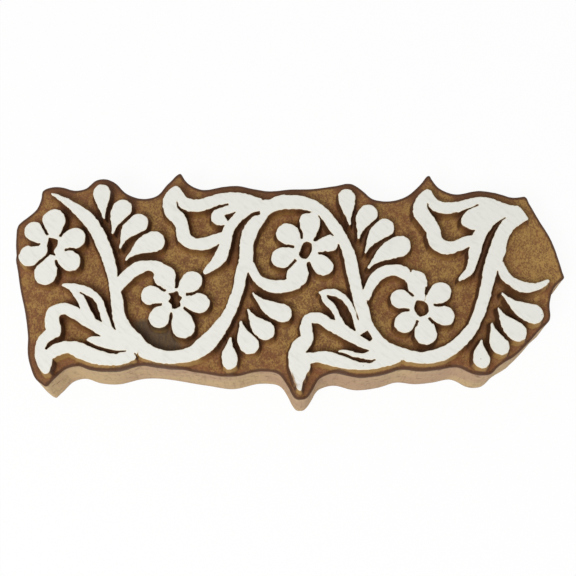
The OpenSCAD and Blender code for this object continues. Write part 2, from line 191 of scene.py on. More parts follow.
def smooth_outline(point, ahead, pitch):
    """The same outlines as smooth curves, in steps of the pitch: a cubic runs from
    each point to the next, along the mean of the two edges that meet at a point,
    or straight on where they turn by more than a corner. Two passes of averaging
    ease what the knife would have rounded."""
    behind = np.argsort(ahead)
    go, come = point[ahead] - point, point - point[behind]
    go_length = np.hypot(*go.T)[:, None]
    come_length = np.hypot(*come.T)[:, None]
    heading = (go / go_length * come_length + come / come_length * go_length) / (go_length + come_length)
    turn = turns(come, go)
    corner = (np.abs(turn) > CORNER)[:, None]
    leave = np.where(corner, go, heading * go_length)
    reach = np.where(corner[ahead], go, heading[ahead] * go_length)
    steps = np.maximum(1, np.round(go_length[:, 0] / pitch)).astype(int)
    first = np.cumsum(steps) - steps
    span = np.repeat(np.arange(len(point)), steps)
    t = ((np.arange(steps.sum()) - first[span]) / steps[span])[:, None]
    fresh = ((2 * t ** 3 - 3 * t ** 2 + 1) * point[span] + (t ** 3 - 2 * t ** 2 + t) * leave[span]
             + (3 * t ** 2 - 2 * t ** 3) * point[ahead][span] + (t ** 3 - t ** 2) * reach[span])
    fresh_ahead = np.arange(len(fresh)) + 1
    fresh_ahead[first + steps - 1] = first[ahead]
    for _ in range(EASE_PASSES):
        fresh = averaged(fresh, fresh_ahead)
    return fresh, fresh_ahead


# Slots: half width of the gouge, length of the body, least turn at an end, furthest move, points
# walked from an end, the point that aims the middle, and the share kept when moves are averaged
SLOT_END = 0.42
SLOT_BODY = 1.8
SLOT_TURN = math.radians(115)
SLOT_MOVE = 0.34
SLOT_POINTS = 9
SLOT_AIM = 4
SLOT_KEEP = 0.6


def round_slots(point, ahead):
    """The same outlines with their slots ending as round as the gouge that cut them. A
    slot ends at the sharpest point where the outline doubles back. Its middle runs from
    there to half way between the points four steps on and four steps back. The points
    on either hand are moved out to the half width of the gouge, which grows as a circle
    from the end, stays over the slot's body and tapers off beyond it. No point moves
    far, and the moves are averaged along the outline."""
    behind = np.argsort(ahead)
    come, go = point - point[behind], point[ahead] - point
    turn = turns(come, go)
    on, back = [np.arange(len(point))], [np.arange(len(point))]
    for _ in range(SLOT_POINTS):
        on.append(ahead[on[-1]])
        back.append(behind[back[-1]])
    total = turn + sum(turn[walk[step]] for walk in (on, back) for step in (1, 2))
    sharpest = np.minimum.reduce([turn[step] for step in on + back])
    tip = np.flatnonzero((total < -SLOT_TURN) & (turn == sharpest))
    on, back = [step[tip] for step in on], [step[tip] for step in back]
    middle = (point[on[SLOT_AIM]] + point[back[SLOT_AIM]]) / 2 - point[tip]
    middle /= np.hypot(*middle.T)[:, None]
    left = np.stack([-middle[:, 1], middle[:, 0]], axis=1)
    move = np.zeros_like(point)
    for hand, walk in ((1, on), (-1, back)):
        for step in walk[1:]:
            reach = ((point[step] - point[tip]) * middle).sum(1)
            beside = hand * ((point[step] - point[tip]) * left).sum(1)
            half = np.sqrt(np.maximum(0, SLOT_END ** 2 - np.maximum(0, SLOT_END - reach) ** 2))
            half *= np.clip(2 - reach / SLOT_BODY, 0, 1)
            move[step] = hand * np.clip(half - beside, 0, SLOT_MOVE)[:, None] * left
    return point + averaged(move, ahead, SLOT_KEEP), ahead


def outward(point, ahead):
    """Unit directions square to the outlines, away from the solid."""
    along = point[ahead] - point[np.argsort(ahead)]
    along /= np.hypot(*along.T)[:, None]
    return np.stack([along[:, 1], -along[:, 0]], axis=1)


STRIP = 2.0
REACH = 3.0


def gap_to(place, point, ahead, reach=REACH):
    """Distance from each place to the outlines, below nought inside them and never
    more than the reach. Works in upright strips: the distance is the least to any
    edge near the strip, and a place is inside if it has an odd count of edges above."""
    span = point[ahead] - point
    low = np.minimum(point[:, 0], point[ahead, 0])
    high = np.maximum(point[:, 0], point[ahead, 0])
    gap = np.full(len(place), reach)
    strip = np.floor(place[:, 0] / STRIP).astype(int)
    for number in np.unique(strip):
        mine = np.flatnonzero(strip == number)
        near = np.flatnonzero((high >= number * STRIP - reach) & (low <= (number + 1) * STRIP + reach))
        if len(near) == 0:
            continue
        along = span[near]
        away = place[mine][:, None] - point[near]
        share = np.clip((away * along).sum(2) / (along ** 2).sum(1), 0, 1)
        least = np.sqrt(((away - share[..., None] * along) ** 2).sum(2).min(1))
        beside = (away[..., 0] >= 0) != (away[..., 0] >= along[:, 0])
        over = (along[:, 1] * away[..., 0] - along[:, 0] * away[..., 1] > 0) == (along[:, 0] > 0)
        within = (beside & over).sum(1) % 2 == 1
        gap[mine] = np.where(within, -1, 1) * np.minimum(least, reach)
    return gap


def blend_net(value, where):
    """A net of values read at places counted in its steps, blended between its knots."""
    cell = np.clip(np.floor(where).astype(int), 0, np.array(value.shape) - 2)
    u, v = np.clip(where - cell, 0, 1).T
    i, j = cell.T
    return ((value[i, j] * (1 - u) + value[i + 1, j] * u) * (1 - v)
            + (value[i, j + 1] * (1 - u) + value[i + 1, j + 1] * u) * v)


def room_about(place, slab, land, step=0.5, far=2.0):
    """How wide the cut ground is about each place: the largest distance to a land or
    to the rim that is found within the far limit."""
    low = place.min(0) - far
    count = np.ceil((place.max(0) + far - low) / step).astype(int) + 1
    x, y = np.meshgrid(*(low[i] + step * np.arange(count[i]) for i in (0, 1)), indexing="ij")
    knot = np.stack([x.ravel(), y.ravel()], axis=1)
    free = np.maximum(0, np.minimum(gap_to(knot, *land), -gap_to(knot, *slab))).reshape(count)
    hops = round(far / step)
    widest = free
    for i in range(-hops, hops + 1):
        for j in range(-hops, hops + 1):
            if i * i + j * j <= hops * hops:
                widest = np.maximum(widest, np.roll(free, (i, j), (0, 1)))
    return blend_net(widest, (place - low) / step)


KNOTS = 64


def ripple(place, pitch, seed):
    """Smooth noise from -1 to 1: fixed random heights on a square net of the pitch,
    blended between its knots."""
    knot = np.random.default_rng(seed).uniform(-1, 1, (KNOTS, KNOTS))
    where = place / pitch
    cell = np.floor(where).astype(int)
    part = where - cell
    part = part * part * (3 - 2 * part)
    return blend_net(np.pad(knot, (0, 1), "wrap"), cell % KNOTS + part)


# The net's kind, how near two points are one, and how far a point may drift
WHOLE_HULL = 0
NET_JOIN = 1e-6
NET_DRIFT = 1e-3


def net(point, ahead, loose):
    """Triangles over the whole hull of the outlines, through their points first and then
    the loose ones, no edge crossing an outline (a constrained Delaunay net)."""
    place = np.concatenate([point, loose]).astype(np.float32)
    edge = np.stack([np.arange(len(point)), ahead], axis=1)
    knots, _, faces, *_ = geometry.delaunay_2d_cdt(
        list(map(Vector, place.tolist())), edge.tolist(), [], WHOLE_HULL, NET_JOIN, False)
    spot = np.array(knots, dtype=float).reshape(-1, 2)
    face = np.array(faces, dtype=int)
    if not np.allclose(spot[:len(point)], point, atol=NET_DRIFT):
        raise RuntimeError("two outlines run into each other")
    return spot, face


# A short reach, enough to tell the inside from the outside
SIGN_REACH = 0.01


def keep_inside(spot, face, point, ahead):
    """Only the triangles whose middle lies inside the outlines."""
    return face[gap_to(spot[face].mean(1), point, ahead, SIGN_REACH) < 0]


def apart(place, step):
    """Places thinned to one in each square of the step."""
    _, first = np.unique(np.round(place / step).astype(np.int64), axis=0, return_index=True)
    return place[np.sort(first)]


# The step between rows and the furthest stray of a place, as shares of the pitch
ROW_SHARE = 0.87
ASTRAY = 0.18


def grid_over(point, pitch, seed):
    """A net of staggered rows over the outlines' box, each place a little astray."""
    low, high = point.min(0), point.max(0)
    x, y = np.meshgrid(np.arange(low[0], high[0], pitch), np.arange(low[1], high[1], pitch * ROW_SHARE))
    x[1::2] += pitch / 2
    place = np.stack([x.ravel(), y.ravel()], axis=1)
    return place + np.random.default_rng(seed).uniform(-ASTRAY, ASTRAY, place.shape) * pitch


def wall_faces(upper, lower, ahead):
    """Two triangles between each step of an upper row and the row below it."""
    return np.concatenate([np.stack([lower, lower[ahead], upper[ahead]], axis=1),
                           np.stack([lower, upper[ahead], upper], axis=1)])


def put(name, data):
    """A new object in the scene."""
    thing = bpy.data.objects.new(name, data)
    bpy.context.scene.collection.objects.link(thing)
    return thing


def make_piece(name, place, face, material, marks):
    """A mesh from points in millimetres, triangles, and one number per point for
    each mark that its finish reads."""
    mesh = bpy.data.meshes.new(name)
    mesh.vertices.add(len(place))
    mesh.vertices.foreach_set("co", (place * MM).astype(np.float32).ravel())
    mesh.loops.add(face.size)
    mesh.loops.foreach_set("vertex_index", face.astype(np.int32).ravel())
    mesh.polygons.add(len(face))
    mesh.polygons.foreach_set("loop_start", np.arange(0, face.size, 3, dtype=np.int32))
    mesh.update(calc_edges=True)
    if mesh.validate():
        raise RuntimeError(f"{name} isn't a sound mesh")
    mesh.shade_smooth()
    for mark, value in marks.items():
        mesh.attributes.new(mark, "FLOAT", "POINT").data.foreach_set("value", value.astype(np.float32))
    mesh.materials.append(material)
    return put(name, mesh)


# Finishes

class Value:
    """A shader socket in a formula: each operator adds one Math node."""

    def __init__(self, shader, socket):
        self.shader, self.socket = shader, socket

    def math(self, operation, first, second):
        """One Math node on two values, numbers or sockets."""
        return self.shader.add("ShaderNodeMath", {"operation": operation}, {0: first, 1: second})

    def __add__(self, other):
        return self.math("ADD", self, other)

    def __sub__(self, other):
        return self.math("SUBTRACT", self, other)

    def __rsub__(self, other):
        return self.math("SUBTRACT", other, self)

    def __mul__(self, other):
        return self.math("MULTIPLY", self, other)

    __radd__, __rmul__ = __add__, __mul__

    def larger(self, other):
        """The larger of two values."""
        return self.math("MAXIMUM", self, other)

    def over(self, low, high):
        """From 0 at the low value to 1 at the high one, with an eased rise."""
        return self.shader.add("ShaderNodeMapRange", {"interpolation_type": "SMOOTHSTEP"},
                               {"Value": self, "From Min": low, "From Max": high})


class Shader:
    """The nodes of a material, or of the world: the owner is the one that keeps them."""

    def __init__(self, name, shelf=None):
        self.owner = (bpy.data.materials if shelf is None else shelf).new(name)
        self.owner.use_nodes = True
        self.tree = self.owner.node_tree
        self.tree.nodes.clear()

    def add(self, kind, settings=None, sockets=None, output=0):
        """A node of a kind: its settings, then its sockets' values or links."""
        node = self.tree.nodes.new(kind)
        for key, setting in (settings or {}).items():
            setattr(node, key, setting)
        for key, value in (sockets or {}).items():
            if isinstance(value, Value):
                self.tree.links.new(value.socket, node.inputs[key])
            else:
                node.inputs[key].default_value = value
        return Value(self, node.outputs[output]) if node.outputs else None

    def place(self, stretch=(1, 1, 1), shift=(0, 0, 0)):
        """The piece's own coordinates in millimetres, stretched and shifted."""
        own = self.add("ShaderNodeTexCoord", output="Object")
        return self.add("ShaderNodeMapping", {"vector_type": "POINT"},
                        {"Vector": own, "Location": shift,
                         "Scale": tuple(part / MM for part in stretch)})

    def noise(self, per_mm, detail=3.0, stretch=(1, 1, 1), shift=(0, 0, 0), rough=0.55):
        """Noise with a number of waves to the millimetre."""
        return self.add("ShaderNodeTexNoise", {"noise_dimensions": "3D"},
                        {"Vector": self.place(stretch, shift), "Scale": per_mm,
                         "Detail": detail, "Roughness": rough})

    def spots(self, per_mm, stretch=(1, 1, 1)):
        """Distance to the nearest of scattered spots, in cells."""
        return self.add("ShaderNodeTexVoronoi", {"feature": "F1"},
                        {"Vector": self.place(stretch), "Scale": per_mm})

    def axis(self, number):
        """One of the piece's own coordinates, in millimetres."""
        return self.add("ShaderNodeSeparateXYZ", None, {0: self.place()}, number)

    def seen(self):
        """1 on a ray from the camera, or on one that gloss or glass sends on."""
        camera, gloss, glass = (self.add("ShaderNodeLightPath", output=f"Is {kind} Ray")
                                for kind in ("Camera", "Glossy", "Transmission"))
        return camera + gloss + glass

    def mark(self, name):
        """A number that the mesh carries at each point."""
        return self.add("ShaderNodeAttribute", {"attribute_name": name}, None, "Fac")

    def mix(self, share, first, second):
        """From the first colour to the second by a share."""
        return self.add("ShaderNodeMix", {"data_type": "RGBA"},
                        {0: share, 6: first, 7: second}, 2)

    def surface(self, base, rough, height, depth, **constants):
        """A Principled surface with its bump, whose height is in millimetres."""
        bump = self.add("ShaderNodeBump", None,
                        {"Strength": 1.0, "Distance": depth * MM, "Height": height})
        sockets = {"Base Color": base, "Roughness": rough, "Normal": bump}
        sockets.update({key.replace("_", " "): value for key, value in constants.items()})
        body = self.add("ShaderNodeBsdfPrincipled", None, sockets)
        self.add("ShaderNodeOutputMaterial", None, {"Surface": body})
        return self.owner


# The olive pocket: its middle along and across the block, its half length and its half width
POCKET = (-45.5, -18.6, 10.5, 4.8)
POCKET_TURN = math.radians(-30)
# The stretch over which a tone comes or goes: along or across the block, then up the sides
LEFT_END = (-78, -44)
BRIGHT_ALONG, BRIGHT_ACROSS = (64, 84), (-8, 2)
PORE_RISE = (8, 18)
UNDER_RIM_DARK = (18.3, 19.3)
FOOT_LINE = (-0.2, 0.5)
# Heights of the bumps in the wood and in the coat
GRAIN_DEPTH, BRUSH_DEPTH = 0.3, 0.05


def carved_wood(look):
    """Oiled, dye-stained carved wood above, bare sawn wood round the sides, with painted light and shade:
    golden on walls that face the front lamp and on open ground, dark at the foot of walls turned away from
    it, in narrow slots and along the back rim. The marks are the distance to the nearest land, the distance
    to the rim and whether that lies behind, how wide the ground is, how far a wall faces the front, and the
    side."""
    wood = Shader("carved_wood")
    ground, golden, reddish, dye_and_shade, olive, sawn, sawn_pink, pore = (
        tuple(getattr(look, name)) for name in
        ("ground", "golden", "reddish", "dye_and_shade", "olive", "sawn", "sawn_pink", "pore"))
    land, rim, side = wood.mark("land_gap"), wood.mark("rim_gap"), wood.mark("side")
    room, facing, behind = wood.mark("room"), wood.mark("facing").over(0.3, 0.75), wood.mark("behind")
    along, across, height = (wood.axis(number) for number in range(3))
    mottle = wood.noise(0.3, 4.0)
    cloud = wood.noise(0.6, 3.0, (1, 0.6, 0.6), (3, 11, 5))
    patch = wood.noise(0.07, 2.0, shift=(31, 7, 0))
    grain = wood.noise(1.7, 5.0, (1, 0.8, 0.6), (5, 3, 9), 0.7)
    fleck = wood.noise(2.3, 2.0, shift=(8, 1, 2))

    # The ground: brown to red; golden grain, with painted light in the open; painted shade with old dye in
    # narrow slots and along the back rim; olive in one pocket
    wide = room.over(1.9, 3.4)
    shut = 1 - (room - behind * 0.5).over(0.9, 2.7)
    left = 1 - along.over(*LEFT_END)
    red = (patch.over(0.44, 0.6) * 0.6).larger(left * 0.5)
    base = wood.mix(red + (1 - red) * (1 - wide) * 0.6, ground, reddish)
    # Golden grain with painted light and shade: more golden where the ground is open, less on narrow ground
    # by the back rim.
    light = ((mottle * 0.4 + grain * 0.6).over(0.45, 0.56) * (0.3 + wide * 0.7) * (1 - red * 0.45)
             * (1 - behind.over(0, 1) * (1 - wide) * 0.8))
    base = wood.mix(light, base, golden)
    base = wood.mix((1 - fleck.over(0.34, 0.46)) * 0.6, base, dye_and_shade)
    # Painted shade, with old dye: narrow ground is darkened, most of all the strip along the back rim where
    # the lands' shade falls.
    inward = rim.over(0.8, 2.4).larger(behind)
    base = wood.mix(shut * (0.6 + cloud * 0.5) * (0.4 + inward * 0.6), base, dye_and_shade)
    bright_end = along.over(*BRIGHT_ALONG) * across.over(*BRIGHT_ACROSS) * wide
    base = wood.mix(bright_end * grain.over(0.38, 0.55) * 0.55, base, golden)
    east, north = along - POCKET[0], across - POCKET[1]
    turn_x, turn_y = math.cos(POCKET_TURN), math.sin(POCKET_TURN)
    u = (east * turn_x + north * turn_y) * (1 / POCKET[2])
    v = (north * turn_x - east * turn_y) * (1 / POCKET[3])
    chisel = wood.noise(1.4, 2.0, (1.0, 0.12, 0.3))
    base = wood.mix((1 - (u * u + v * v).over(0.5, 1.1)) * (1.1 - chisel * 0.5), base, olive)

    # The walls: a dark foot of painted shade, with old dye, where they turn away from the front lamp,
    # painted light in golden where they face it, and a dark brink at the rim
    # Painted shade, with some old dye: the foot of each wall that doesn't face the front lamp is darkened.
    edge = (1 - (land + cloud * 0.3).over(0.8, 1.1)) * (1 - facing)
    base = wood.mix(edge * 0.85, base, dye_and_shade)
    # Painted light: walls that face the front lamp turn golden where the ground is open or near the rim.
    open_wall = room.over(1.8, 3.0).larger(1 - rim.over(3.0, 5.0))
    painted_light_wall = (1 - land.over(0.4, 0.9)) * facing * open_wall
    base = wood.mix(painted_light_wall * (0.4 + grain * 0.6), base, golden)
    brink = 1 - (rim - behind * 0.15 + cloud * 0.5 + grain * 0.7).over(1.25, 1.8)
    base = wood.mix(brink * 0.9, base, dye_and_shade)

    # The sawn sides: banded and scratched, with pores, darker under the rim and at the foot
    band = wood.noise(0.35, 3.0, (0.1, 0.1, 1.0))
    drift = wood.noise(0.045, 2.0, shift=(9, 2, 0))
    scratch = wood.noise(1.2, 3.0, (1.0, 1.0, 0.14), (2, 8, 4))
    hole = wood.spots(0.5, (0.45, 0.45, 1.0))
    bare = wood.mix((band * 0.4 + drift * 0.6).over(0.42, 0.58), sawn, sawn_pink)
    bare = wood.mix((1 - scratch.over(0.3, 0.5)) * 0.3, bare, pore)
    bare = wood.mix((1 - hole.over(0.14, 0.26)) * (0.45 + height.over(*PORE_RISE) * 0.4), bare, pore)
    bare = wood.mix((height - cloud * 1.6).over(*UNDER_RIM_DARK) * 0.9, bare, dye_and_shade)
    bare = wood.mix((1 - (height - cloud * 0.9).over(*FOOT_LINE)) * 0.5, bare, pore)
    base = wood.mix(side, base, bare)

    rough = 0.55 + mottle * 0.2 + side * 0.12
    bumps = fleck * 0.4 + grain * 0.6 + scratch * side * 0.5
    return wood.surface(base, rough, bumps, GRAIN_DEPTH, Specular_IOR_Level=0.32)


# Pits in the coat, and the tip where the brush ran dry
DOTS = ((25.1, -30.0), (64.8, -27.6), (86.3, -12.2))
DRY_TIP = (1.0, -35.2)


def white_coat(look):
    """Matt white paint laid on with a brush, warm where it thins out at an edge, with a
    few pits and one tip where the brush ran dry. The mark is the distance inside the edge."""
    coat = Shader("white_coat")
    white, thin, worn, bare = (tuple(getattr(look, name)) for name in ("white", "thin", "worn", "bare"))
    inside = coat.mark("edge_gap")
    place = coat.place()

    def away_from(x, y):
        """Distance from a place on the face, in millimetres."""
        return coat.add("ShaderNodeVectorMath", {"operation": "DISTANCE"},
                        {0: place, 1: (x, y, FACE_HEIGHT)}, "Value")

    def streaks(turn, narrow, per_mm):
        """Noise drawn out along a stroke that is turned by an angle in degrees."""
        turned = coat.add("ShaderNodeMapping", {"vector_type": "TEXTURE"},
                          {"Vector": place, "Rotation": (0, 0, math.radians(turn)),
                           "Scale": (1 / narrow, 1.0, 1.0)})
        return coat.add("ShaderNodeTexNoise", None,
                        {"Vector": turned, "Scale": per_mm, "Detail": 3.0, "Roughness": 0.55})

    brush = streaks(-40, 0.3, 0.8)
    hairs = streaks(-60, 0.12, 2.2)
    cloud = coat.noise(0.3, 3.0)
    base = coat.mix(brush.over(0.45, 0.75) * 0.16, white, worn)
    base = coat.mix((1 - inside.over(0.05, 0.35)) * 0.75, base, thin)
    for dot in DOTS:
        base = coat.mix((1 - away_from(*dot).over(0.1, 0.35)) * 0.7, base, worn)
    dry = (1 - away_from(*DRY_TIP).over(1.5, 3.6)) * (1 - (inside + hairs * 1.6).over(1.0, 1.7))
    base = coat.mix(dry * 0.9, base, bare)
    rough = 0.6 + cloud * 0.2
    return coat.surface(base, rough, brush, BRUSH_DEPTH, Specular_IOR_Level=0.2)


# Pieces

# The carved walls: distance from a land's edge and the drop there, for walls of this run
WALL_GAP = (-0.2, -0.08, 0.0, 0.1, 0.27, 0.5, 0.85, 1.4, 2.4)
WALL_DROP = (0.0, 0.0, 0.04, 1.0, 2.5, 3.85, 4.55, 4.9, 5.0)
WALL_RUN = 0.8

# The ground and the rim: how soon slots deepen, where the gouge's marks start, how the rim falls
SLOT_SLOPE = 2.6
OPEN_FROM, OPEN_OVER = 0.5, 1.2
GOUGE_SINK = 0.4
RIM_STEEP = 0.96
RIM_REACH = 6.0
BEHIND_STEP = 0.3

# Rings of places along the edges, how clear of each other places stay, and the seeds of the grids
RINGS = (-0.2, 0.1, 0.27, 0.5, 0.85, 1.4)
RIM_RINGS = (0.2, 0.5, 0.9)
COAT_RINGS = (0.1, 0.28, 0.6)
RING_SHARE = 0.93
LAND_CLEAR = 0.4
RING_CLEAR = 0.3
EDGE_CLEAR = 0.15
SPACING = 0.1
GROUND_SEED, BACK_SEED, COAT_SEED = 11, 12, 41

# The sides and the back: the lean, the rows of points, the saw's marks and the net of the back
LEAN_CLEAR = 1.1
LEAN_PASSES = 40
SIDE_ROWS = 14
EASE_RISE = 1.5
SAW_SHARE = 0.35
SAW_LIFT = 1.6
SAW_START = 6
BACK_PITCH = 6.0
BACK_CLEAR = 1.0

# What a mark says on the sides and the back, where it isn't nought
BELOW = {"land_gap": REACH, "side": 1.0}

# Each wave has its weight, its squeeze along the second axis, its pitch and its seed.
HAND_WAVES = (((1.0, 1.0, 0.9, 3), (0.6, 1.0, 3.7, 4)),
              ((1.0, 1.0, 0.9, 5), (0.6, 1.0, 3.7, 6)))
HAND_SHARE = 0.6
GOUGE_WAVES = ((0.5, 0.55, 1.7, 21), (0.35, 1.0, 3.9, 22), (0.3, 1.0, 0.95, 23))
SAW_WAVES = ((1.0, 0.25, 2.3, 31), (0.6, 1.0, 6.0, 32))


def ripples(place, waves):
    """The sum of some ripples, each squeezed and weighted."""
    return sum(weight * ripple(place * (1, squeeze), pitch, seed) for weight, squeeze, pitch, seed in waves)


TINY = 1e-9


def front_share(place, face):
    """How far the surface at each point faces the front: the negative y of the mean
    direction of the triangles round it."""
    a, b, c = place[face].transpose(1, 0, 2)
    square = np.cross(b - a, c - a)
    total = np.stack([np.bincount(face.ravel(), np.repeat(square[:, i], 3), len(place))
                      for i in range(3)], axis=1)
    return -total[:, 1] / np.maximum(np.linalg.norm(total, axis=1), TINY)


def wander(place, most):
    """Places pushed about along both axes by a slow and a quick hand tremble."""
    shift = np.stack([ripples(place, waves) for waves in HAND_WAVES], axis=1)
    return place + HAND_SHARE * most * shift


def lean_in(slab, ahead, land, most):
    """The outline of the slab's top, moved in along y where the side faces the front. The
    shift stays clear of the lands and is averaged along the outline."""
    shift = most * np.clip(-outward(slab, ahead)[:, 1], 0, 1)
    shift = np.minimum(shift, np.maximum(0, gap_to(slab, *land) - LEAN_CLEAR))
    for _ in range(LEAN_PASSES):
        shift = averaged(shift, ahead)
    return slab + np.column_stack([np.zeros(len(slab)), shift])


def ring_off(point, ahead, ring):
    """The outlines moved out by a ring, or in by one below nought, without the places
    that come nearer than that to another stretch."""
    place = point + outward(point, ahead) * ring
    return place[gap_to(place, point, ahead) * np.sign(ring) > abs(ring) * RING_SHARE]


def top_places(rim, land, run, pitch):
    """Places for the net over the top: rings along the walls and inside the rim, and a
    grid over the open ground."""
    rings = [ring_off(*land, ring * (run / WALL_RUN if ring > 0 else 1)) for ring in RINGS]
    rings += [ring_off(*rim, -ring) for ring in RIM_RINGS]
    grid = grid_over(rim[0], pitch, GROUND_SEED)
    grid = grid[gap_to(grid, *land) > RINGS[-1] + LAND_CLEAR]
    grid = grid[gap_to(grid, *rim) < -RIM_RINGS[-1] - RING_CLEAR]
    loose = np.concatenate([*rings, grid])
    return apart(loose[gap_to(loose, *rim) < -EDGE_CLEAR], SPACING)


def carved_top(spot, rim, land, look):
    """The carved upper surface over its net, and the marks that its finish reads. The walls
    drop from the lands to the ground along a profile, and less far in a narrow slot. The
    gouge's ripples lie on the open ground, and the rim falls off in a quarter round."""
    depth, slot, run, gouge, rim_round = in_mm(
        look, "ground_depth", "slot_floor", "wall_run", "gouge_depth", "rim_round")
    wall_gap = np.array(WALL_GAP) * np.where(np.array(WALL_GAP) > 0, run / WALL_RUN, 1)
    wall_drop = np.array(WALL_DROP) * depth / WALL_DROP[-1]
    land_gap = gap_to(spot, *land)
    rim_gap = -gap_to(spot, *rim, RIM_REACH)
    behind = -rim_gap - gap_to(spot - (0, BEHIND_STEP), *rim, RIM_REACH)
    room = room_about(spot, rim, land)
    drop = np.interp(land_gap, wall_gap, wall_drop) * np.minimum(1, (slot + SLOT_SLOPE * room) / depth)
    open_ground = np.clip((land_gap - OPEN_FROM) / OPEN_OVER, 0, 1)
    fall = np.clip(1 - rim_gap / rim_round, 0, 1)
    fall = rim_round * (1 - np.sqrt(1 - RIM_STEEP * fall ** 2))
    top = LAND_HEIGHT - drop + gouge * open_ground * (ripples(spot, GOUGE_WAVES) - GOUGE_SINK) - fall
    marks = {"land_gap": land_gap, "rim_gap": rim_gap,
             "behind": np.clip(behind / BEHIND_STEP, -1, 1), "room": room}
    return np.column_stack([spot, np.minimum(top, LAND_HEIGHT)]), marks


def sawn_side(rim, slab, ahead, rim_height, saw, ease):
    """Rows of points down the side: straight from the rim's outline and heights to the
    slab's outline at the eased back edge, sunk by the saw's waves."""
    share = (np.arange(1, SIDE_ROWS) / SIDE_ROWS)[:, None]
    rows = rim_height * (1 - share) + EASE_RISE * ease * share
    around = np.cumsum(np.hypot(*(slab - slab[np.argsort(ahead)]).T))
    wave = np.stack([ripples(np.column_stack([around, row]), SAW_WAVES) for row in rows])
    sunk = saw * SAW_SHARE * (wave + SAW_LIFT) * np.minimum(1, share * SAW_START)
    sawn = rim + (slab - rim) * share[..., None] - outward(slab, ahead) * sunk[..., None]
    return np.concatenate([sawn, rows[..., None]], axis=2).reshape(-1, 3)


def flat_back(slab, ahead, inset):
    """The back: the slab's outline drawn in by the inset and netted flat, facing down."""
    back = slab - outward(slab, ahead) * inset
    grid = grid_over(back, BACK_PITCH, BACK_SEED)
    grid = grid[gap_to(grid, back, ahead) < -BACK_CLEAR]
    spot, face = net(back, ahead, grid)
    face = keep_inside(spot, face, back, ahead)
    return np.column_stack([spot, np.zeros(len(spot))]), face[:, ::-1]


def in_mm(look, *names):
    """Settings kept in metres, as millimetres."""
    return [getattr(look, name) / MM for name in names]


class PRINTBLOCK_OT_carve(bpy.types.Operator):
    """Carve the slab: lands with sloping walls over a gouged ground, sawn sides, flat back"""
    bl_idname = "printing_block.carve"
    bl_label = "Carve the block"

    def execute(self, context):
        look = context.scene.printing_block
        edge_pitch, ground_pitch, run, stray, lean, saw, ease = in_mm(
            look, "edge_pitch", "ground_pitch", "wall_run", "hand_wander", "lean", "saw_depth", "back_ease")
        slab, ahead = smooth_outline(*flat_outline(BLOCK, 0.0, upward=False), edge_pitch)
        land, land_ahead = round_slots(*smooth_outline(*flat_outline(BLOCK, LAND_HEIGHT), edge_pitch))
        low, high = np.array(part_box(BLOCK))[:, :2] / MM
        slab = as_stored(np.clip(slab, low, high))
        land = as_stored(wander(land, stray))
        rim = as_stored(lean_in(slab, ahead, (land, land_ahead), lean))

        both = np.concatenate([rim, land])
        both_ahead = np.concatenate([ahead, land_ahead + len(slab)])
        spot, face = net(both, both_ahead, top_places((rim, ahead), (land, land_ahead), run, ground_pitch))
        face = keep_inside(spot, face, rim, ahead)
        top, marks = carved_top(spot, (rim, ahead), (land, land_ahead), look)
        count = len(slab)
        side = sawn_side(rim, slab, ahead, top[:count, 2], saw, ease)
        back, back_face = flat_back(slab, ahead, ease + saw * SAW_SHARE)

        place = np.concatenate([top, side, back])
        first_back = len(top) + len(side)
        ring = np.concatenate([np.arange(count)[None],
                               len(top) + np.arange(len(side)).reshape(-1, count),
                               first_back + np.arange(count)[None]])
        faces = [face, back_face + first_back]
        faces += [wall_faces(upper, lower, ahead) for upper, lower in zip(ring, ring[1:])]
        marks.update(facing=front_share(top, face), side=np.zeros(len(top)))
        marks = {name: np.append(value, np.full(len(place) - len(top), BELOW.get(name, 0.0)))
                 for name, value in marks.items()}
        piece = make_piece("carved_block", place, np.concatenate(faces), carved_wood(look), marks)
        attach(piece, "root")
        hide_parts(BLOCK)
        return {"FINISHED"}


# The coat: how far in its edge is rounded, and the lie, pitch and seed of the brush marks
ROUND_REACH = 0.3
BRUSH_TURN = ((0.82, 0.1), (-0.57, 0.9))
BRUSH_PITCH, BRUSH_SEED = 0.8, 42


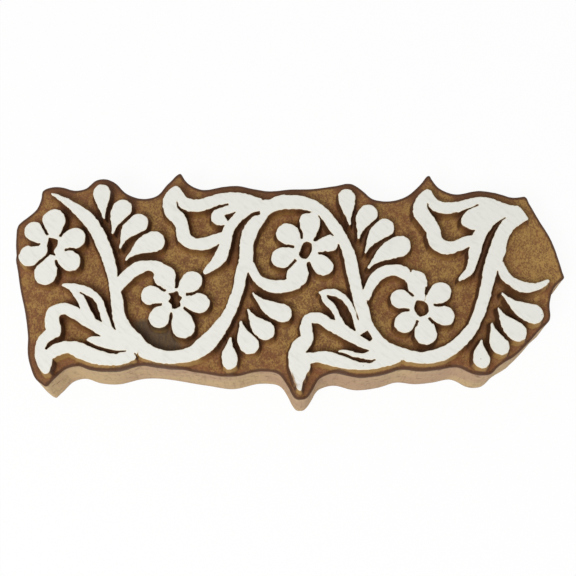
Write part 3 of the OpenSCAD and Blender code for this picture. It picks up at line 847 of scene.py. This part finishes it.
class PRINTBLOCK_OT_coat(bpy.types.Operator):
    """Lay the white coat on every land: a thin skin with a rounded edge and brush marks"""
    bl_idname = "printing_block.coat"
    bl_label = "Lay the white coat"

    def execute(self, context):
        scene = context.scene
        look = scene.printing_coat
        pitch, spread, edge_round, brush = in_mm(look, "net_pitch", "spread", "edge_round", "brush_depth")
        edge_pitch, stray = in_mm(scene.printing_block, "edge_pitch", "hand_wander")
        finish = white_coat(look)
        for node in COATS:
            edge, ahead = round_slots(*smooth_outline(*flat_outline(node, FACE_HEIGHT), edge_pitch))
            edge = as_stored(wander(edge + outward(edge, ahead) * spread, stray))
            grid = grid_over(edge, pitch, COAT_SEED)
            grid = grid[gap_to(grid, edge, ahead) < -COAT_RINGS[-1] - RING_CLEAR]
            rings = [ring_off(edge, ahead, -ring) for ring in COAT_RINGS]
            spot, face = net(edge, ahead, apart(np.concatenate([*rings, grid]), SPACING))
            face = keep_inside(spot, face, edge, ahead)
            inside = -gap_to(spot, edge, ahead)
            rounded = edge_round * np.clip(1 - inside / ROUND_REACH, 0, 1) ** 2
            stroke = ripple(spot @ np.array(BRUSH_TURN), BRUSH_PITCH, BRUSH_SEED)
            top = np.column_stack([spot, FACE_HEIGHT - rounded - brush * 0.5 * (1 + stroke)])
            under, under_face = net(edge, ahead, edge[:0])
            under_face = keep_inside(under, under_face, edge, ahead)
            under = np.column_stack([under, np.full(len(under), LAND_HEIGHT)])
            loop = np.arange(len(edge))
            faces = np.concatenate([face, under_face[:, ::-1] + len(top),
                                    wall_faces(loop, loop + len(top), ahead)])
            piece = make_piece(node.replace("_coat", "_white"), np.concatenate([top, under]), faces,
                               finish, {"edge_gap": np.append(inside, np.zeros(len(under)))})
            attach(piece, "root")
            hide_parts(node)
        return {"FINISHED"}


# Stage

EYE = (-0.323, -114.94, 421.43)
LOOK_AT = (-0.323, -2.759, 25.0)
LENS, SENSOR = 75.0, 36.0
CLIP_START, CLIP_END = 0.01, 20.0
FLOOR_HALF = 3
FLOOR_SHOWN = 0.93
KEY_PLACE = (-0.28, -0.45, 0.95)
KEY_WIDTH = 0.42
FILL_COLOUR = (1.0, 0.99, 0.97, 1.0)
PLAIN_WHITE = (1, 1, 1, 1)


def aim(thing, place, target):
    """Put a lamp or camera at a place, turned towards a target."""
    thing.location = place
    thing.rotation_euler = (target - place).to_track_quat("-Z", "Y").to_euler()


class PRINTBLOCK_OT_stage(bpy.types.Operator):
    """Set the floor, the soft light and the camera"""
    bl_idname = "printing_block.stage"
    bl_label = "Set the stage"

    def execute(self, context):
        scene = context.scene
        look = scene.printing_stage
        scene.view_settings.view_transform = "Standard"
        lens = bpy.data.cameras.new("camera")
        lens.lens, lens.sensor_width = LENS, SENSOR
        lens.clip_start, lens.clip_end = CLIP_START, CLIP_END
        scene.camera = put("camera", lens)
        aim(scene.camera, Vector(EYE) * MM, Vector(LOOK_AT) * MM)

        ground = Shader("floor")
        plain = ground.add("ShaderNodeBsdfDiffuse", None, {"Color": tuple(look.floor)})
        white = ground.add("ShaderNodeEmission", None, {"Color": PLAIN_WHITE, "Strength": 1.0})
        ground.add("ShaderNodeOutputMaterial", None, {"Surface": ground.add(
            "ShaderNodeMixShader", None, {0: ground.seen() * FLOOR_SHOWN, 1: plain, 2: white})})
        mesh = bpy.data.meshes.new("floor")
        corners = [(x * FLOOR_HALF, y * FLOOR_HALF, 0) for x, y in ((-1, -1), (1, -1), (1, 1), (-1, 1))]
        mesh.from_pydata(corners, [], [(0, 1, 2, 3)])
        mesh.materials.append(ground.owner)
        floor = put("floor", mesh)

        lamp = bpy.data.lights.new("key", "AREA")
        lamp.shape, lamp.size, lamp.energy = "DISK", KEY_WIDTH, look.key_power
        aim(put("key", lamp), Vector(KEY_PLACE), Vector())

        room = Shader("room", bpy.data.worlds)
        fill = room.add("ShaderNodeBackground", None, {"Color": FILL_COLOUR, "Strength": look.fill_level})
        white = room.add("ShaderNodeBackground", None, {"Color": PLAIN_WHITE, "Strength": 1.0})
        room.add("ShaderNodeOutputWorld", None, {"Surface": room.add(
            "ShaderNodeMixShader", None, {0: room.seen(), 1: fill, 2: white})})
        scene.world = room.owner
        return {"FINISHED"}


# Panel

class PRINTBLOCK_PT_panel(bpy.types.Panel):
    """The block's settings and steps"""
    bl_label = "Printing Block"
    bl_idname = "PRINTBLOCK_PT_panel"
    bl_space_type = "VIEW_3D"
    bl_region_type = "UI"
    bl_category = "Printing Block"

    def draw(self, context):
        for group, step in STEPS:
            box = self.layout.box()
            box.operator(step.bl_idname)
            settings = getattr(context.scene, group)
            for name in settings.bl_rna.properties.keys():
                if name not in ("rna_type", "name"):
                    box.prop(settings, name)


STEPS = (("printing_block", PRINTBLOCK_OT_carve), ("printing_coat", PRINTBLOCK_OT_coat),
         ("printing_stage", PRINTBLOCK_OT_stage))
GROUPS = {"printing_block": BlockSettings, "printing_coat": CoatSettings,
          "printing_stage": StageSettings}
CLASSES = (*GROUPS.values(), *(step for _, step in STEPS), PRINTBLOCK_PT_panel)


def register():
    """Add the classes and the scene's settings."""
    for item in CLASSES:
        bpy.utils.register_class(item)
    for name, group in GROUPS.items():
        setattr(bpy.types.Scene, name, PointerProperty(type=group))


def unregister():
    """Take the settings and the classes away."""
    for name in GROUPS:
        delattr(bpy.types.Scene, name)
    for item in reversed(CLASSES):
        bpy.utils.unregister_class(item)


def main():
    """Make every piece and the stage."""
    register()
    bpy.ops.printing_block.carve()
    bpy.ops.printing_block.coat()
    bpy.ops.printing_block.stage()


if __name__ == "__main__":
    main()
